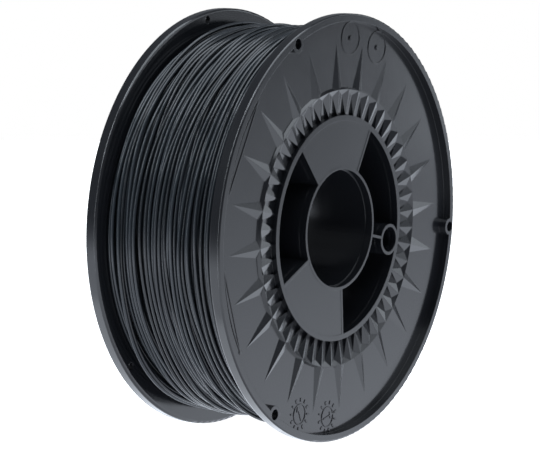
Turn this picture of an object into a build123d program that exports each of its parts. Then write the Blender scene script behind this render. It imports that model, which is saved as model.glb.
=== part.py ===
from build123d import *
import os
from math import atan2, cos, degrees, radians, sin

# A full spool for 1.75 mm filament: two identical moulded flanges, a moulded core between them,
# and the filament wound on the core.  Millimetres.  The spool's axis is Y, its front flange faces
# -Y, +Z is up and the origin is the middle of the spool.
# Angles in a flange are counted from the direction of its drive hole.

# ---- overall sizes ----
FLANGE_DIAMETER = 200.0
SPOOL_WIDTH = 74.0          # outer face to outer face
DRUM_DIAMETER = 105.8       # what the filament is wound on
BORE_DIAMETER = 54.5        # through the core
FILAMENT_DIAMETER = 1.75
WINDING_INSET = 6.0         # from a flange's edge down to a full winding
CLOCK_ANGLE = -13.9         # direction of the drive holes, from +X towards +Z

# ---- flange ----
RIM_WIDTH = 6.0             # along the axis, and the depth of a whole flange
RIM_THICKNESS = 3.5         # radially
RIM_ROUNDING = 0.9
BACK_ROUNDING = 1.5         # of the flange's edge on the filament's side
PLATE = 2.2                 # the disc inside the rim
DRUM_WALL = 2.5
MOUTH_STEP = 0.4            # the bore's mouth in each flange is this much wider all round
COLLAR_WALL = 1.4
RIB = 1.3

# ---- sunburst relief on the flange's outer face ----
RING_CREST_GAP = 12.0       # from the drum's radius out to the ring's crest
RING_CREST_HEIGHT = 1.3     # above the plate
RING_OUTER_RUN = 1.0        # crest to plate, outwards
RING_INNER_RUN = 2.6        # crest to the teeth's floor, inwards
FLOOR_DROP = 1.4            # how far the floor dips below the plate's face at the hub
RAY_COUNT = 24
RAY_TIP_INSET = 12.2        # from the flange's edge
RAY_HALF_WIDTH = 4.2
TEETH_PER_RAY = 2
TOOTH_TIP_HEIGHT = 1.5      # ridge above the floor, at the hub
SINK = 0.05                 # relief feet lie this far inside the face that they stand on

# ---- hub: closed webs, drive hole ----
HUB_RECESS = 2.4            # hub ring, collar and webs end this far below the rim
HUB_WEB_CENTRE = 107.9      # either side of the drive hole
HUB_WEB_SPAN = 68.6
HUB_WEB_RECESS = 0.15       # behind the hub ring
HUB_WEB = 2.0
DRIVE_HOLE_DIAMETER = 12.0
DRIVE_TUBE_WALL = 1.5
DRIVE_TUBE_BITE = 1.5       # how far the tube runs into the drum's wall

# ---- spigots and snaps that hold a flange on the core ----
SPIGOT_CLEARANCE = 0.15
SPIGOT_WALL = 1.9
SPIGOT_DEPTH = 6.5
SPIGOT_GAP = 1.5            # from a spigot's ends to the core's ribs
SNAP_LUG = 1.1              # proud of the spigot
SNAP_SPAN = 7.0             # degrees
SNAP_OFFSET = 17.0          # degrees either side of a web's middle
SNAP_LENGTH = 1.8
SNAP_CLEARANCE = 0.2

# ---- holes at the rim for the filament's free end ----
END_HOLE_COUNT = 3
END_HOLE_ANGLE = 7.5
END_HOLE_INSET = 3.5        # from the flange's edge to the hole's middle
END_HOLE_CLEARANCE = 1.85   # wider than the filament
END_MOUTH_STEP = 0.7        # the outer mouth is this much wider all round
END_BOSS_WALL = 1.6

# ---- raised marks ----
MARK_HEIGHT = 0.3
MARK_LINE = 0.45
DIAL_INSET = 11.3           # from the flange's edge to a dial's middle
DIAL_RADIUS = 7.6
DIAL_ANGLES = (-97.2, -81.7)
DIAL_POINTERS = (125.0, 25.0)
DIAL_TICKS = 12
STUD_ANGLES = (97.3, 82.0)
STUD_RADIUS = 1.3
FRAME_ANGLES = ((163.9, 29.8), (-148.7, 25.5))   # middle and span of each rimside frame
FRAME_EDGE_GAP = 5.2        # from a frame's arc to the rim

# ---- the filament's free end ----
TAIL_BEND = 4.5
TAIL_END_INSET = 1.2        # below the flange's top plane
TAIL_HOLE = 0               # which end hole of the rear flange it goes through

FLANGE_RADIUS = FLANGE_DIAMETER / 2
DRUM_RADIUS = DRUM_DIAMETER / 2
DRUM_INSIDE = DRUM_RADIUS - DRUM_WALL
BORE_RADIUS = BORE_DIAMETER / 2
MOUTH_RADIUS = BORE_RADIUS + MOUTH_STEP
COLLAR_RADIUS = MOUTH_RADIUS + COLLAR_WALL
RIM_INSIDE = FLANGE_RADIUS - RIM_THICKNESS
CORE_LENGTH = SPOOL_WIDTH - 2 * RIM_WIDTH
HUB_TOP = RIM_WIDTH - HUB_RECESS
DRIVE_TUBE_RADIUS = DRIVE_HOLE_DIAMETER / 2 + DRIVE_TUBE_WALL
DRIVE_HOLE_PLACE = DRUM_INSIDE + DRIVE_TUBE_BITE - DRIVE_TUBE_RADIUS
RING_CREST_RADIUS = DRUM_RADIUS + RING_CREST_GAP
END_HOLE_PLACE = FLANGE_RADIUS - END_HOLE_INSET
END_HOLE_RADIUS = (FILAMENT_DIAMETER + END_HOLE_CLEARANCE) / 2
END_MOUTH_RADIUS = END_HOLE_RADIUS + END_MOUTH_STEP
WINDING_RADIUS = FLANGE_RADIUS - WINDING_INSET


def polar(radius, angle):
    return (radius * cos(radians(angle)), radius * sin(radians(angle)))


def disc(radius, z0, z1):
    """A round bar about Z from z0 to z1."""
    return Pos(0, 0, z0) * extrude(Circle(radius), z1 - z0)


def ring(outer, inner, z0, z1):
    """A tube about Z from z0 to z1."""
    return Pos(0, 0, z0) * extrude(Circle(outer) - Circle(inner), z1 - z0)


def sector(outer, inner, middle, span, z0, z1):
    """A stretch of tube, `span` degrees long, centred on the angle `middle`."""
    start, end = middle - span / 2, middle + span / 2
    outline = [
        CenterArc((0, 0), outer, start, span),
        Line(polar(outer, end), polar(inner, end)),
        CenterArc((0, 0), inner, start, span),
        Line(polar(inner, start), polar(outer, start)),
    ]
    return Pos(0, 0, z0) * extrude(make_face(outline), z1 - z0)


def bar(inner, outer, angle, thickness, z0, z1):
    """A straight radial bar between two radii."""
    box = Box(outer - inner, thickness, z1 - z0, align=(Align.MIN, Align.CENTER, Align.MIN))
    return Rot(0, 0, angle) * Pos(inner, 0, z0) * box


def polyhedron(points, faces):
    """A closed solid from corner points and the corner numbers of each flat face."""
    skins = [Face(Wire.make_polygon([points[i] for i in face], close=True)) for face in faces]
    return Solid(Shell(skins))


def wedge(crest, tip, foot, half_width, tip_height, bottom, angle):
    """A roof-shaped relief: a ridge falls from `crest` to the `tip`, its eaves stand at `foot`.

    crest, tip and foot are (radius, height); tip_height raises the ridge's end above the tip.
    """
    corners = [
        (crest[0], 0, crest[1]), (foot[0], half_width, foot[1]),
        (tip[0], 0, tip[1]), (foot[0], -half_width, foot[1]),
    ]
    points = corners + [(x, y, bottom) for x, y, z in corners]
    points.append((tip[0], 0, tip[1] + tip_height))
    top = 8 if tip_height else 2
    faces = [(0, 1, top), (0, top, 3), (7, 6, 5, 4), (1, 0, 4, 5), (0, 3, 7, 4),
             (2, 1, 5, 6), (3, 2, 6, 7)]
    if tip_height:
        faces += [(1, 2, 8), (2, 3, 8)]
    return Rot(0, 0, angle) * polyhedron(points, faces)


def flange_disc():
    """Hub ring, dipped floor, crested ring, plate and rounded rim, as one turned profile."""
    floor_out = RING_CREST_RADIUS - RING_INNER_RUN
    r, c, b = FLANGE_RADIUS, RIM_ROUNDING, BACK_ROUNDING
    outline = [
        Polyline(
            (r - b, 0), (DRUM_INSIDE, 0), (DRUM_INSIDE, HUB_TOP), (DRUM_RADIUS, HUB_TOP),
            (DRUM_RADIUS, PLATE - FLOOR_DROP), (floor_out, PLATE),
            (RING_CREST_RADIUS, PLATE + RING_CREST_HEIGHT),
            (RING_CREST_RADIUS + RING_OUTER_RUN, PLATE), (RIM_INSIDE, PLATE),
            (RIM_INSIDE, RIM_WIDTH), (r - c, RIM_WIDTH),
        ),
        CenterArc((r - c, RIM_WIDTH - c), c, 0, 90),
        Line((r, RIM_WIDTH - c), (r, b)),
        CenterArc((r - b, b), b, -90, 90),
    ]
    return revolve(Plane.XZ * make_face(outline), Axis.Z)


def sunburst():
    """Long rays outside the crested ring and short teeth inside it, all pinched at its crest."""
    crest = (RING_CREST_RADIUS, PLATE + RING_CREST_HEIGHT)
    ray_foot = (RING_CREST_RADIUS + RING_OUTER_RUN - SINK, PLATE - SINK)
    ray_tip = (FLANGE_RADIUS - RAY_TIP_INSET, PLATE - SINK)
    tooth_foot = (RING_CREST_RADIUS - RING_INNER_RUN + SINK, PLATE - SINK)
    tooth_tip = (DRUM_RADIUS - SINK, PLATE - FLOOR_DROP - SINK)
    tooth_pitch = 360 / (RAY_COUNT * TEETH_PER_RAY)
    tooth_half_width = tooth_foot[0] * radians(tooth_pitch) / 2 - 2 * SINK
    bottom = (PLATE - FLOOR_DROP) / 2
    rays = [wedge(crest, ray_tip, ray_foot, RAY_HALF_WIDTH, 0, bottom, k * 360 / RAY_COUNT)
            for k in range(RAY_COUNT)]
    teeth = [wedge(crest, tooth_tip, tooth_foot, tooth_half_width, TOOTH_TIP_HEIGHT, bottom,
                   k * tooth_pitch) for k in range(RAY_COUNT * TEETH_PER_RAY)]
    return rays + teeth


def hub_section(z0, z1):
    """The ribs and drive tube that flange and core share, from z0 to z1."""
    root = COLLAR_RADIUS - COLLAR_WALL / 2
    parts = [bar(root, DRIVE_HOLE_PLACE, 0, RIB, z0, z1),
             Pos(DRIVE_HOLE_PLACE, 0, 0) * disc(DRIVE_TUBE_RADIUS, z0, z1)]
    for web in (-1, 1):
        for edge in (-1, 1):
            angle = web * HUB_WEB_CENTRE + edge * HUB_WEB_SPAN / 2
            parts.append(bar(root, DRUM_INSIDE + DRUM_WALL / 4, angle, RIB, z0, z1))
    return parts


def drive_hole(z0, z1):
    return Pos(DRIVE_HOLE_PLACE, 0, 0) * disc(DRIVE_HOLE_DIAMETER / 2, z0, z1)


def hub_webs():
    top = HUB_TOP - HUB_WEB_RECESS
    return [sector(DRUM_INSIDE + DRUM_WALL / 4, COLLAR_RADIUS - COLLAR_WALL / 2,
                   side * HUB_WEB_CENTRE, HUB_WEB_SPAN, top - HUB_WEB, top) for side in (-1, 1)]


def spigots():
    """Under each closed web a curved tongue reaches into the drum, with two snap lugs."""
    outside = DRUM_INSIDE - SPIGOT_CLEARANCE
    inside = outside - SPIGOT_WALL
    rib_angle = degrees(atan2(RIB / 2 + SPIGOT_GAP, inside))
    span = HUB_WEB_SPAN - 2 * rib_angle
    web_top = HUB_TOP - HUB_WEB_RECESS
    parts = []
    for side in (-1, 1):
        middle = side * HUB_WEB_CENTRE
        parts.append(sector(DRUM_INSIDE + DRUM_WALL / 4, inside, middle, span, 0, web_top))
        parts.append(sector(outside, inside, middle, span, -SPIGOT_DEPTH, 0))
        for lug in (-1, 1):
            parts.append(snap_lug(outside, middle + lug * SNAP_OFFSET))
    return parts


def snap_lug(outside, angle):
    """A hook on the spigot: sloped where it enters the drum, square where it catches."""
    low = -SPIGOT_DEPTH
    catch = low + 2 * SNAP_LENGTH
    slope = low + SNAP_LENGTH
    outline = Polyline((outside - SPIGOT_WALL / 2, low), (outside, low),
                       (outside + SNAP_LUG, slope), (outside + SNAP_LUG, catch),
                       (outside - SPIGOT_WALL / 2, catch), close=True)
    turned = revolve(Plane.XZ * make_face(outline), Axis.Z, SNAP_SPAN)
    return Rot(0, 0, angle - SNAP_SPAN / 2) * turned


def end_hole_places():
    return [polar(END_HOLE_PLACE, END_HOLE_ANGLE + k * 360 / END_HOLE_COUNT)
            for k in range(END_HOLE_COUNT)]


def end_bosses():
    """Collars round the rim's end holes, trimmed where they would pass the flange's edge."""
    boss = disc(END_MOUTH_RADIUS + END_BOSS_WALL, PLATE / 2, RIM_WIDTH)
    within = ring(FLANGE_RADIUS - RIM_ROUNDING, DRUM_RADIUS, 0, RIM_WIDTH)
    return [(Pos(x, y, 0) * boss) & within for x, y in end_hole_places()]


def end_holes():
    stepped = disc(END_HOLE_RADIUS, 0, RIM_WIDTH) + disc(END_MOUTH_RADIUS, PLATE, RIM_WIDTH)
    return [Pos(x, y, 0) * stepped for x, y in end_hole_places()]


def line_mark(start, end, width):
    """A raised straight line on the plate."""
    dx, dy = end[0] - start[0], end[1] - start[1]
    length = (dx * dx + dy * dy) ** 0.5
    box = Box(length, width, SINK + MARK_HEIGHT, align=(Align.MIN, Align.CENTER, Align.MIN))
    return Pos(start[0], start[1], PLATE - SINK) * Rot(0, 0, degrees(atan2(dy, dx))) * box


def dial(angle, pointer):
    """A date dial: a raised circle, short ticks round it and a pointer with a broad foot."""
    x, y = polar(FLANGE_RADIUS - DIAL_INSET, angle)
    z0, z1 = PLATE - SINK, PLATE + MARK_HEIGHT
    inner = DIAL_RADIUS * 0.62
    parts = [Pos(x, y, 0) * ring(inner + MARK_LINE / 2, inner - MARK_LINE / 2, z0, z1)]
    for k in range(DIAL_TICKS):
        a = pointer + k * 360 / DIAL_TICKS
        start, end = polar(inner * 1.25, a), polar(DIAL_RADIUS, a)
        parts.append(Pos(x, y, 0) * line_mark(start, end, MARK_LINE * (1.6 if k % 3 else 2.4)))
    tail, nose = polar(-inner * 0.75, pointer), polar(inner * 0.9, pointer)
    parts.append(Pos(x, y, 0) * line_mark(tail, nose, MARK_LINE * 1.3))
    head = Polyline(polar(inner, pointer), polar(inner * 0.55, pointer + 40),
                    polar(inner * 0.55, pointer - 40), close=True)
    parts.append(Pos(x, y, z0) * extrude(make_face(head), z1 - z0))
    return parts


def stud(angle):
    """A low raised disc in a raised circle: the mark of an ejector or core pin."""
    x, y = polar(FLANGE_RADIUS - DIAL_INSET, angle)
    z0, z1 = PLATE - SINK, PLATE + MARK_HEIGHT
    return [Pos(x, y, 0) * ring(DIAL_RADIUS + MARK_LINE / 2, DIAL_RADIUS - MARK_LINE / 2, z0, z1),
            Pos(x, y, 0) * disc(STUD_RADIUS, z0, z1 + MARK_HEIGHT)]


def rim_frame(middle, span):
    """A blank label frame: a raised line along the rim and the straight chord that closes it."""
    radius = RIM_INSIDE - FRAME_EDGE_GAP
    start, end = polar(radius, middle - span / 2), polar(radius, middle + span / 2)
    arc = sector(radius + MARK_LINE / 2, radius - MARK_LINE / 2, middle, span,
                 PLATE - SINK, PLATE + MARK_HEIGHT)
    dots = [Pos(x, y, 0) * disc(2 * MARK_LINE, PLATE - SINK, PLATE + MARK_HEIGHT)
            for x, y in (start, end)]
    return [arc, line_mark(start, end, MARK_LINE)] + dots


def marks():
    parts = []
    for angle, pointer in zip(DIAL_ANGLES, DIAL_POINTERS):
        parts += dial(angle, pointer)
    for angle in STUD_ANGLES:
        parts += stud(angle)
    for middle, span in FRAME_ANGLES:
        parts += rim_frame(middle, span)
    return parts


def flange():
    """One flange, inner face on z = 0, outer face up, drive hole on +X."""
    body = flange_disc()
    body += sunburst()
    body += [ring(COLLAR_RADIUS, MOUTH_RADIUS, 0, HUB_TOP)]
    body += hub_webs() + hub_section(0, HUB_TOP) + spigots()
    body += end_bosses() + marks()
    body -= end_holes()
    return body - drive_hole(-SPIGOT_DEPTH, RIM_WIDTH)


def core():
    """Drum and bore tube, tied by the ribs and the drive tube, centred on the origin."""
    half = CORE_LENGTH / 2
    body = ring(DRUM_RADIUS, DRUM_INSIDE, -half, half)
    body += [ring(COLLAR_RADIUS, BORE_RADIUS, -half, half)]
    body += hub_section(-half, half)
    body -= drive_hole(-half, half)
    low = half - SPIGOT_DEPTH - SNAP_CLEARANCE
    high = half - SPIGOT_DEPTH + 2 * SNAP_LENGTH + SNAP_CLEARANCE
    span = SNAP_SPAN + 2 * degrees(SNAP_CLEARANCE / DRUM_INSIDE)
    for side in (-1, 1):
        for lug in (-1, 1):
            angle = side * HUB_WEB_CENTRE + lug * SNAP_OFFSET
            outer = DRUM_INSIDE - SPIGOT_CLEARANCE + SNAP_LUG + SNAP_CLEARANCE
            pocket = sector(outer, DRUM_INSIDE - SINK, angle, span, low, high)
            body -= [pocket, Rot(180, 0, 0) * pocket]
    return body


def winding():
    """The wound filament as one plain ring between the flanges, with its free end."""
    half = CORE_LENGTH / 2
    body = ring(WINDING_RADIUS, DRUM_RADIUS, -half, half)
    hole = END_HOLE_ANGLE + TAIL_HOLE * 360 / END_HOLE_COUNT
    reach = 3 * TAIL_BEND
    x, y = polar(END_HOLE_PLACE, hole)
    along = polar(1, hole + 90)
    lift = half - TAIL_BEND - FILAMENT_DIAMETER
    middle = (x + reach * along[0], y + reach * along[1])
    start = polar(WINDING_RADIUS - FILAMENT_DIAMETER, hole + 22)
    path = FilletPolyline(
        (*start, lift - 1.0), (*middle, lift - 0.5), (x, y, lift),
        (x, y, SPOOL_WIDTH / 2 - TAIL_END_INSET), radius=(2 * TAIL_BEND, TAIL_BEND))
    section = Plane(path @ 0, z_dir=path % 0) * Circle(FILAMENT_DIAMETER / 2)
    return body + sweep(section, path)


def place_front(shape):
    """Local +Z becomes -Y and the drive hole turns to CLOCK_ANGLE."""
    return Rot(90, 0, 0) * (Rot(0, 0, CLOCK_ANGLE) * shape)


FLANGE = flange()
FRONT = place_front(Pos(0, 0, CORE_LENGTH / 2) * FLANGE)
REAR = place_front(Rot(180, 0, 0) * (Pos(0, 0, CORE_LENGTH / 2) * FLANGE))
CORE = place_front(core())
FILAMENT = place_front(Rot(180, 0, 0) * winding())

os.makedirs("parts", exist_ok=True)
for name, shape in {"front_flange": FRONT, "rear_flange": REAR, "core": CORE,
                    "filament": FILAMENT}.items():
    export_step(shape, f"parts/{name}.step")
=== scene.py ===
"""A full spool of 1.75 mm filament: black moulded flanges and core, strands wound in layers."""
import math

import bpy
import numpy as np
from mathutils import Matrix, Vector


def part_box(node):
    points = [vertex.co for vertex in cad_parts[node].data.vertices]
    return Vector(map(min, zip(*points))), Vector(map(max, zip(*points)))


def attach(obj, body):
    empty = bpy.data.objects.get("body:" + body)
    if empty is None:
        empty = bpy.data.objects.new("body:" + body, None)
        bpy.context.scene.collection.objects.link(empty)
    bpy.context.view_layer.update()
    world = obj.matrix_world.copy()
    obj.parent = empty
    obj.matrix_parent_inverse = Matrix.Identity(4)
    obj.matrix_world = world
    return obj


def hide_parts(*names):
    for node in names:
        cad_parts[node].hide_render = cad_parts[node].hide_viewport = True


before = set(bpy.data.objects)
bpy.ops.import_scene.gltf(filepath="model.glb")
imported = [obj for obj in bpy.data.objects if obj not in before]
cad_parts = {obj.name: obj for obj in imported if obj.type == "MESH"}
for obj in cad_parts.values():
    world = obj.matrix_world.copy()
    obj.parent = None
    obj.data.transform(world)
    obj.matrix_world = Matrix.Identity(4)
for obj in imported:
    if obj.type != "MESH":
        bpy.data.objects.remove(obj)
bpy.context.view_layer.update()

# ---- sizes, in metres and degrees ----
CORE_LOW, CORE_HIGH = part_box("core")
WINDING_LOW, WINDING_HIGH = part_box("filament")
DRUM_RADIUS = (CORE_HIGH.x - CORE_LOW.x) / 2
FLANGE_GAP = CORE_HIGH.y - CORE_LOW.y           # between the two flanges
WINDING_RADIUS = (WINDING_HIGH.x - WINDING_LOW.x) / 2
FLOOR_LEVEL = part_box("front_flange")[0].z

STRAND = 0.00175                                # the filament's diameter
STRAND_PITCH = 0.00232                          # mean spacing of the turns across the spool
LOOSE_LAYERS = 4                                # how many outer layers are drawn strand by strand
SAMPLES_PER_TURN = 150
WANDER = 0.00105                                # how far a turn strays sideways
WANDER_SHARED = 0.45                            # the share of it that neighbouring turns have in common
EDGE_CLEARANCE = STRAND * 0.56                  # from a flange to the middle of the last turn
EDGE_CROWDING = 1.35                            # bend of the curve that crowds turns at the flanges
CROWDED_SHARE = 0.4                             # how far the turns follow that curve
LAYER_RISE = 0.0016                             # from one layer to the next
NESTING = 0.86                                  # share of the full height at which a turn rests
EASING = SAMPLES_PER_TURN // 9                  # samples over which a turn climbs onto another
LEVEL_PERCENTILE = 80                           # of the last layer's heights, set to the full radius
SHORT_OF_FLANGE = 0.1                           # share of the last layer left unwound
REAR_DIP = 0.0034                               # the winding sinks by this beside the rear flange
REAR_DIP_START = 0.015                          # from this place along Y

RING_CLEARANCE = 0.00015                        # between the deeper layers' ring and the flanges
RING_BORE_CLEARANCE = 0.0001                    # between that ring and the drum
RING_PERCENTILE = 30                            # of the lowest loose layer's heights, its radius
POINTS_PER_WAVE = 8
RING_SIDES = 180
UNDER_SIDES, OUTER_SIDES = 6, 8                 # corners of the strand's section

END_HOLE_ANGLE = -21.4                          # the rear flange's end hole that takes the free end
END_HOLE_PLACE = 0.0965                         # its distance from the spool's axis
LEAVING_ANGLE = -62.0                           # where the free end leaves the winding


def smooth_noise(phase, rng, rates):
    """A sum of sines of the given rates, with random phases, scaled to unit spread."""
    offsets = rng.uniform(0, 2 * np.pi, len(rates))
    waves = np.sin(phase[..., None] * rates + offsets)
    return waves.sum(-1) / math.sqrt(len(rates) / 2)


def wound_path(rng):
    """The centreline of the outer layers, as arrays of angle, place along Y and radius.

    Angle grows steadily. Y is a triangle wave, one stroke a layer, plus a sideways wander that is
    partly shared by neighbouring turns (sines of nearly whole rates) and partly each turn's own
    (sines of other rates). Radius is the height at which each turn comes to rest on those laid
    before it: for circles of one diameter, the lower one's radius plus the upright side of a
    right-angled triangle whose long side is the diameter and whose level side is their spacing.
    That side is shortened a little and the heights are smoothed along the strand, so crossing
    turns sink into each other slightly. Beside the rear flange the winding dips, most at its top
    and bottom.
    """
    reach = FLANGE_GAP / 2 - EDGE_CLEARANCE
    turns_per_layer = int(2 * reach / STRAND_PITCH)
    turns = turns_per_layer * LOOSE_LAYERS
    step = np.arange(turns * SAMPLES_PER_TURN)
    end_angle = math.radians(LEAVING_ANGLE)
    angle = end_angle + (step - step[-1]) * 2 * np.pi / SAMPLES_PER_TURN
    stroke = (step[-1] - step) / SAMPLES_PER_TURN / turns_per_layer + SHORT_OF_FLANGE
    triangle = 1 - 2 * np.abs((stroke + 1) % 2 - 1)
    shared = smooth_noise(angle, rng, np.array([1.02, 1.96, 3.03, 0.985, 4.02]))
    own = smooth_noise(angle, rng, np.array([0.37, 0.81, 1.43, 2.31, 2.77, 3.61]))
    wander = WANDER * (WANDER_SHARED * shared + (1 - WANDER_SHARED) * own)
    crowded = reach * np.tanh(EDGE_CROWDING * (triangle + wander / reach)) / np.tanh(EDGE_CROWDING)
    straight = np.clip(reach * triangle + wander, -reach, reach)
    y = CROWDED_SHARE * crowded + (1 - CROWDED_SHARE) * straight

    rows = y.reshape(turns, SAMPLES_PER_TURN)
    radius = np.empty_like(rows)
    floor = WINDING_RADIUS - STRAND / 2 - LAYER_RISE * (LOOSE_LAYERS - 1)
    radius[0] = floor
    for turn in range(1, turns):
        first = max(0, turn - 3 * turns_per_layer)
        spacing = np.abs(rows[first:turn] - rows[turn])
        lift = np.sqrt(np.clip(STRAND ** 2 - spacing ** 2, 0, None))
        resting = np.where(spacing < STRAND, radius[first:turn] + NESTING * lift, floor)
        radius[turn] = np.maximum(resting.max(0), floor)
    radius = radius.ravel()
    kernel = np.hanning(EASING + 2)[1:-1]
    padded = np.pad(radius, EASING, mode="edge")
    radius = np.convolve(padded, kernel / kernel.sum(), mode="same")[EASING:-EASING]
    top = np.percentile(radius[-turns_per_layer * SAMPLES_PER_TURN:], LEVEL_PERCENTILE)
    slack = np.clip((y - REAR_DIP_START) / (reach - REAR_DIP_START), 0, 1)
    dip = REAR_DIP * slack ** 2 * (3 - 2 * slack) * (0.25 + 0.75 * np.sin(angle) ** 2)
    radius = radius + WINDING_RADIUS - STRAND / 2 - top - dip
    return angle, y, radius, turns_per_layer


def around(angle, y, radius):
    """Points at the given angles about Y, from +X towards +Z."""
    return np.stack([radius * np.cos(angle), y, radius * np.sin(angle)], -1)


def free_end(last):
    """The run from the winding to the rear end hole: a quadratic B-spline over a few points."""
    hole = math.radians(END_HOLE_ANGLE)
    corner_y = FLANGE_GAP / 2 - 0.0062
    steps = np.array([
        [math.radians(LEAVING_ANGLE + 13), last[1] * 0.6 + corner_y * 0.4, WINDING_RADIUS - 0.0004],
        [math.radians(LEAVING_ANGLE + 26), corner_y - 0.0006, WINDING_RADIUS + 0.0008],
        [hole - 0.075, corner_y - 0.0003, END_HOLE_PLACE + 0.0001],
        [hole, corner_y + 0.0004, END_HOLE_PLACE],
        [hole, corner_y + 0.0048, END_HOLE_PLACE],
        [hole, WINDING_HIGH.y, END_HOLE_PLACE]])
    points = around(steps[:, 0], steps[:, 1], steps[:, 2])
    control = np.vstack([around(*last), points, points[-1]])
    t = np.linspace(0, 1, 12, endpoint=False)[:, None, None]
    a, b, c = control[:-2], control[1:-1], control[2:]
    blended = (1 - t) ** 2 / 2 * a + (0.5 + t * (1 - t)) * b + t ** 2 / 2 * c
    return blended.transpose(1, 0, 2).reshape(-1, 3)


def grid_faces(rows, columns, close_rows=False, close_columns=True):
    """Corner numbers of the quads of a grid whose points are numbered row by row."""
    r = np.arange(rows if close_rows else rows - 1)[:, None]
    c = np.arange(columns if close_columns else columns - 1)[None, :]
    r1, c1 = (r + 1) % rows, (c + 1) % columns
    return np.stack([r * columns + c, r * columns + c1, r1 * columns + c1, r1 * columns + c],
                    -1).reshape(-1, 4)


def mesh_piece(name, points, quads, caps, material, shade=None):
    """A closed mesh from points, quads and capping polygons, riding on the spool."""
    mesh = bpy.data.meshes.new(name)
    mesh.from_pydata(points.tolist(), [], quads.tolist() + caps)
    mesh.polygons.foreach_set("use_smooth", np.ones(len(mesh.polygons), bool))
    if shade is not None:
        mesh.attributes.new("shade", "FLOAT", "POINT").data.foreach_set(
            "value", shade.astype(np.float32))
    mesh.update()
    piece = bpy.data.objects.new(name, mesh)
    bpy.context.scene.collection.objects.link(piece)
    mesh.materials.append(material)
    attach(piece, "root")
    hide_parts("filament")
    return piece


def tube(name, path, sides, material, shade):
    """A round strand: at each path point, a circle spanned by the outward direction and the
    direction square to it and to the path. Both ends are closed by a flat polygon."""
    tangent = np.gradient(path, axis=0)
    tangent /= np.linalg.norm(tangent, axis=1)[:, None]
    outward = path * np.array([1.0, 0.0, 1.0])
    outward -= (outward * tangent).sum(1)[:, None] * tangent
    outward /= np.linalg.norm(outward, axis=1)[:, None]
    sideways = np.cross(tangent, outward)
    turn = np.linspace(0, 2 * np.pi, sides, endpoint=False)[None, :, None]
    circle = np.cos(turn) * outward[:, None] + np.sin(turn) * sideways[:, None]
    points = (path[:, None] + STRAND / 2 * circle).reshape(-1, 3)
    last = len(path) * sides
    caps = [list(range(sides))[::-1], list(range(last - sides, last))]
    return mesh_piece(name, points, grid_faces(len(path), sides), caps, material,
                      np.repeat(shade, sides))


def packed_layers(material, turns_per_layer, outer_radius):
    """The deeper layers as one ring: a closed outline, with a scalloped outer edge whose waves
    are as wide as a turn, carried round the spool's axis."""
    half = FLANGE_GAP / 2 - RING_CLEARANCE
    across = np.linspace(-half, half, turns_per_layer * POINTS_PER_WAVE)
    wave = np.abs(np.sin(np.pi * (across + half) / (2 * half) * turns_per_layer))
    outline_y = np.concatenate([across, [half, -half]])
    inner = DRUM_RADIUS + RING_BORE_CLEARANCE
    outline_r = np.concatenate([outer_radius - STRAND * 0.5 * (1 - wave), [inner, inner]])
    angle = np.linspace(0, 2 * np.pi, RING_SIDES, endpoint=False)[:, None]
    points = around(angle, outline_y[None, :] + 0 * angle, outline_r[None, :]).reshape(-1, 3)
    quads = grid_faces(RING_SIDES, len(outline_y), close_rows=True)
    return mesh_piece("filament_deep_layers", points, quads, [], material,
                      np.full(len(points), 0.5))


# ---- materials ----
def material_with(name, nodes_of):
    """A new node material whose Principled shader is set up by nodes_of(tree, shader)."""
    made = bpy.data.materials.new(name)
    made.use_nodes = True
    nodes_of(made.node_tree, made.node_tree.nodes["Principled BSDF"])
    return made


def node(tree, kind, **settings):
    """A new shader node. Each setting is one of its properties or the value of an input."""
    made = tree.nodes.new(kind)
    for key, value in settings.items():
        if hasattr(made, key):
            setattr(made, key, value)
        else:
            made.inputs[key.replace("_", " ")].default_value = value
    return made


def noise(tree, coordinates, scale, detail=3.0, roughness=0.5):
    """The grey value of a noise texture."""
    made = node(tree, "ShaderNodeTexNoise", Scale=scale, Detail=detail, Roughness=roughness)
    tree.links.new(coordinates, made.inputs["Vector"])
    return made.outputs["Fac"]


def between(tree, value, low, high, from_low=0.3, from_high=0.7):
    """value remapped from (from_low, from_high) to (low, high)."""
    made = node(tree, "ShaderNodeMapRange")
    for key, number in (("From Min", from_low), ("From Max", from_high),
                        ("To Min", low), ("To Max", high)):
        made.inputs[key].default_value = number
    tree.links.new(value, made.inputs["Value"])
    return made.outputs["Result"]


def ramp(tree, value, dark, light):
    """A colour between dark and light, for a value between 0.3 and 0.7."""
    made = node(tree, "ShaderNodeValToRGB")
    made.color_ramp.elements[0].position, made.color_ramp.elements[1].position = 0.3, 0.7
    made.color_ramp.elements[0].color = (*dark, 1)
    made.color_ramp.elements[1].color = (*light, 1)
    tree.links.new(value, made.inputs["Fac"])
    return made.outputs["Color"]


def moulded_black(tree, shader):
    """Black styrene: a soft gloss with faint flow marks, a fine skin texture and rounded edges."""
    place = node(tree, "ShaderNodeTexCoord").outputs["Object"]
    broad = noise(tree, place, 14.0, 2.0)
    fine = noise(tree, place, 700.0, 4.0, 0.6)
    tree.links.new(ramp(tree, broad, (0.0060, 0.0066, 0.0080), (0.0085, 0.0092, 0.0110)),
                   shader.inputs["Base Color"])
    flow = node(tree, "ShaderNodeMapping")
    flow.inputs["Scale"].default_value = (1.0, 6.0, 1.0)
    tree.links.new(place, flow.inputs["Vector"])
    streaks = noise(tree, flow.outputs["Vector"], 45.0, 5.0, 0.65)
    tree.links.new(between(tree, streaks, 0.14, 0.19), shader.inputs["Roughness"])
    edge = node(tree, "ShaderNodeBevel", samples=4, Radius=0.00028)
    skin = node(tree, "ShaderNodeBump", Strength=0.03, Distance=0.00003)
    tree.links.new(fine, skin.inputs["Height"])
    tree.links.new(edge.outputs["Normal"], skin.inputs["Normal"])
    tree.links.new(skin.outputs["Normal"], shader.inputs["Normal"])
    shader.inputs["IOR"].default_value = 1.55


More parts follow.
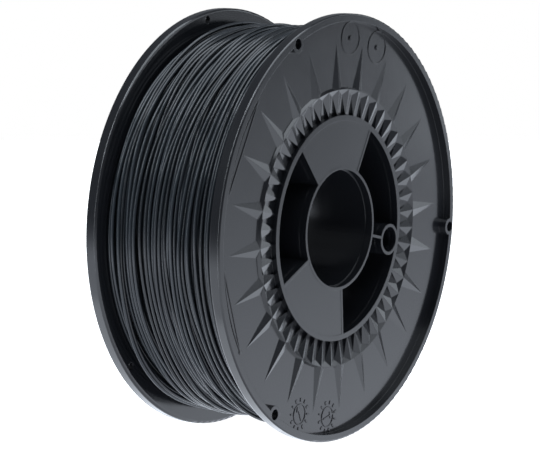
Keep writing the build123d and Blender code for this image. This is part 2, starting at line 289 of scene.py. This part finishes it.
def drawn_filament(tree, shader):
    """Anthracite filament: glossy, lighter and darker along the strand, unevenly smooth."""
    place = node(tree, "ShaderNodeTexCoord").outputs["Object"]
    shade = node(tree, "ShaderNodeAttribute", attribute_name="shade").outputs["Fac"]
    tree.links.new(ramp(tree, shade, (0.009, 0.011, 0.0132), (0.018, 0.022, 0.026)),
                   shader.inputs["Base Color"])
    cloud = noise(tree, place, 160.0, 3.0)
    tree.links.new(between(tree, cloud, 0.13, 0.20), shader.inputs["Roughness"])
    skin = node(tree, "ShaderNodeBump", Strength=0.12, Distance=0.00005)
    tree.links.new(noise(tree, place, 1500.0, 3.0), skin.inputs["Height"])
    tree.links.new(skin.outputs["Normal"], shader.inputs["Normal"])
    shader.inputs["IOR"].default_value = 1.46


def pale_floor(tree, shader):
    """A glowing white sheet with a barely uneven tone."""
    place = node(tree, "ShaderNodeTexCoord").outputs["Object"]
    tree.links.new(ramp(tree, noise(tree, place, 3.0), (0.86, 0.86, 0.86), (0.90, 0.90, 0.90)),
                   shader.inputs["Base Color"])
    shader.inputs["Emission Color"].default_value = (1, 1, 1, 1)
    shader.inputs["Emission Strength"].default_value = 1.05
    shader.inputs["Roughness"].default_value = 0.7


SPOOL_BLACK = material_with("moulded_black", moulded_black)
FILAMENT = material_with("drawn_filament", drawn_filament)
FLOOR = material_with("pale_floor", pale_floor)

for name in ("front_flange", "rear_flange", "core"):
    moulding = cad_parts[name]
    moulding.data.materials.clear()
    moulding.data.materials.append(SPOOL_BLACK)


# ---- the winding ----
def wind_filament():
    """Two loose layers, two more with the free end, and the ring of deeper layers."""
    rng = np.random.default_rng(23)
    angle, y, radius, turns_per_layer = wound_path(rng)
    path = around(angle, y, radius)
    shade = 0.5 + 0.25 * smooth_noise(angle, rng, np.array([0.11, 0.23, 0.53, 0.9]))
    split = len(path) - 2 * turns_per_layer * SAMPLES_PER_TURN
    tail = free_end((angle[-1], y[-1], radius[-1]))
    tube("filament_under_layers", path[:split + 1:2], UNDER_SIDES, FILAMENT, shade[:split + 1:2])
    outer = np.vstack([path[split:], tail[1:]])
    outer_shade = np.concatenate([shade[split:], np.full(len(tail) - 1, shade[-1])])
    tube("filament_outer_layers", outer, OUTER_SIDES, FILAMENT, outer_shade)
    deepest = np.percentile(radius[:turns_per_layer * SAMPLES_PER_TURN], RING_PERCENTILE)
    packed_layers(FILAMENT, turns_per_layer, deepest)


wind_filament()


# ---- stage, light and camera ----
CAMERA_AZIMUTH, CAMERA_ELEVATION, CAMERA_DISTANCE = -55.51, 8.48, 1.168
LAMP_TINT = (0.85, 0.92, 1.0)
ROOM_TINT = (0.84, 0.90, 1.0)
BRIGHTEST = 2.0                                 # a ramp holds no more than 1, so levels are over this
# the room's brightness at rising elevations in degrees
ROOM_LIGHT = ((-90, 0.9), (-60, 1.2), (-42, 1.6), (-28, 1.9), (-14, 1.95), (-9, 1.15), (-4, 0.45),
              (2, 0.20), (90, 0.20))


def backward(azimuth, elevation):
    """The unit direction from the spool to something seen at that azimuth and elevation."""
    a, e = math.radians(azimuth), math.radians(elevation)
    return Vector((math.sin(a) * math.cos(e), -math.cos(a) * math.cos(e), math.sin(e)))


def aim(thing, target):
    """Turns a camera or a light at its place to look at the target."""
    thing.rotation_euler = (Vector(target) - thing.location).to_track_quat("-Z", "Y").to_euler()


def softbox(name, azimuth, elevation, distance, width, height, power):
    """A rectangular lamp turned to the spool."""
    lamp = bpy.data.lights.new(name, "AREA")
    lamp.shape, lamp.size, lamp.size_y, lamp.energy = "RECTANGLE", width, height, power
    holder = bpy.data.objects.new(name, lamp)
    bpy.context.scene.collection.objects.link(holder)
    lamp.color = LAMP_TINT
    holder.location = backward(azimuth, elevation) * distance
    aim(holder, (0, 0, 0))


def floor():
    """A pale sheet under the spool. It is hidden from reflections, diffuse light and shadows,
    because the room lights the spool from below in its place."""
    near, far, across = 0.6, 1.2, 1.2
    ahead = -backward(CAMERA_AZIMUTH, 0)
    side = Vector((ahead.y, -ahead.x, 0))
    corners = [ahead * u + side * v + Vector((0, 0, FLOOR_LEVEL))
               for u, v in ((-near, across), (far, across), (far, -across), (-near, -across))]
    mesh = bpy.data.meshes.new("floor")
    mesh.from_pydata([list(corner) for corner in corners], [], [(3, 2, 1, 0)])
    mesh.materials.append(FLOOR)
    made = bpy.data.objects.new("floor", mesh)
    made.visible_glossy = made.visible_diffuse = made.visible_shadow = False
    bpy.context.scene.collection.objects.link(made)


def studio():
    """White where the camera sees past the spool. For the spool, a dim room whose light grows
    downwards from the horizon, as from a lit table top, and falls off again straight below."""
    world = bpy.data.worlds.new("studio")
    world.use_nodes = True
    tree = world.node_tree
    direction = tree.nodes.new("ShaderNodeTexCoord").outputs["Generated"]
    upward = tree.nodes.new("ShaderNodeSeparateXYZ")
    tree.links.new(direction, upward.inputs["Vector"])
    height = between(tree, upward.outputs["Z"], 0, 1, -1, 1)
    graded = tree.nodes.new("ShaderNodeValToRGB")
    tree.links.new(height, graded.inputs["Fac"])
    stops = graded.color_ramp.elements
    for elevation, level in ROOM_LIGHT[1:-1]:
        stops.new((math.sin(math.radians(elevation)) + 1) / 2)
    for stop, (elevation, level) in zip(stops, ROOM_LIGHT):
        stop.color = (*(tint * level / BRIGHTEST for tint in ROOM_TINT), 1)
    dim = tree.nodes["Background"]
    tree.links.new(graded.outputs["Color"], dim.inputs["Color"])
    dim.inputs["Strength"].default_value = BRIGHTEST
    white = tree.nodes.new("ShaderNodeBackground")
    white.inputs["Color"].default_value = (1, 1, 1, 1)
    seen = tree.nodes.new("ShaderNodeLightPath")
    mix = tree.nodes.new("ShaderNodeMixShader")
    tree.links.new(seen.outputs["Is Camera Ray"], mix.inputs["Fac"])
    tree.links.new(dim.outputs["Background"], mix.inputs[1])
    tree.links.new(white.outputs["Background"], mix.inputs[2])
    tree.links.new(mix.outputs["Shader"], tree.nodes["World Output"].inputs["Surface"])
    bpy.context.scene.world = world
    bpy.context.scene.view_settings.view_transform = "Standard"
    softbox("overhead", 10, 80, 1.8, 2.0, 2.0, 40)
    softbox("front_right", 38, 26, 1.8, 1.1, 1.0, 3.8)
    softbox("window_right", 67, 12, 2.0, 0.56, 1.3, 3.4)
    softbox("upper_left", -112, 50, 1.5, 0.16, 1.2, 8.0)
    softbox("strip_left", -100, 15, 1.6, 0.10, 2.4, 7.0)
    softbox("light_table_behind", 180, -48, 1.5, 2.2, 1.0, 8)


def camera():
    """A long lens, looking at the spool's middle with a small shift."""
    lens = bpy.data.cameras.new("camera")
    lens.lens, lens.sensor_width = 164.3, 36.0
    lens.shift_x, lens.shift_y = -0.0171, -0.0051
    lens.clip_start, lens.clip_end = 0.05, 60
    eye = bpy.data.objects.new("camera", lens)
    bpy.context.scene.collection.objects.link(eye)
    eye.location = backward(CAMERA_AZIMUTH, CAMERA_ELEVATION) * CAMERA_DISTANCE
    aim(eye, (0, 0, 0))
    bpy.context.scene.camera = eye


floor()
studio()
camera()
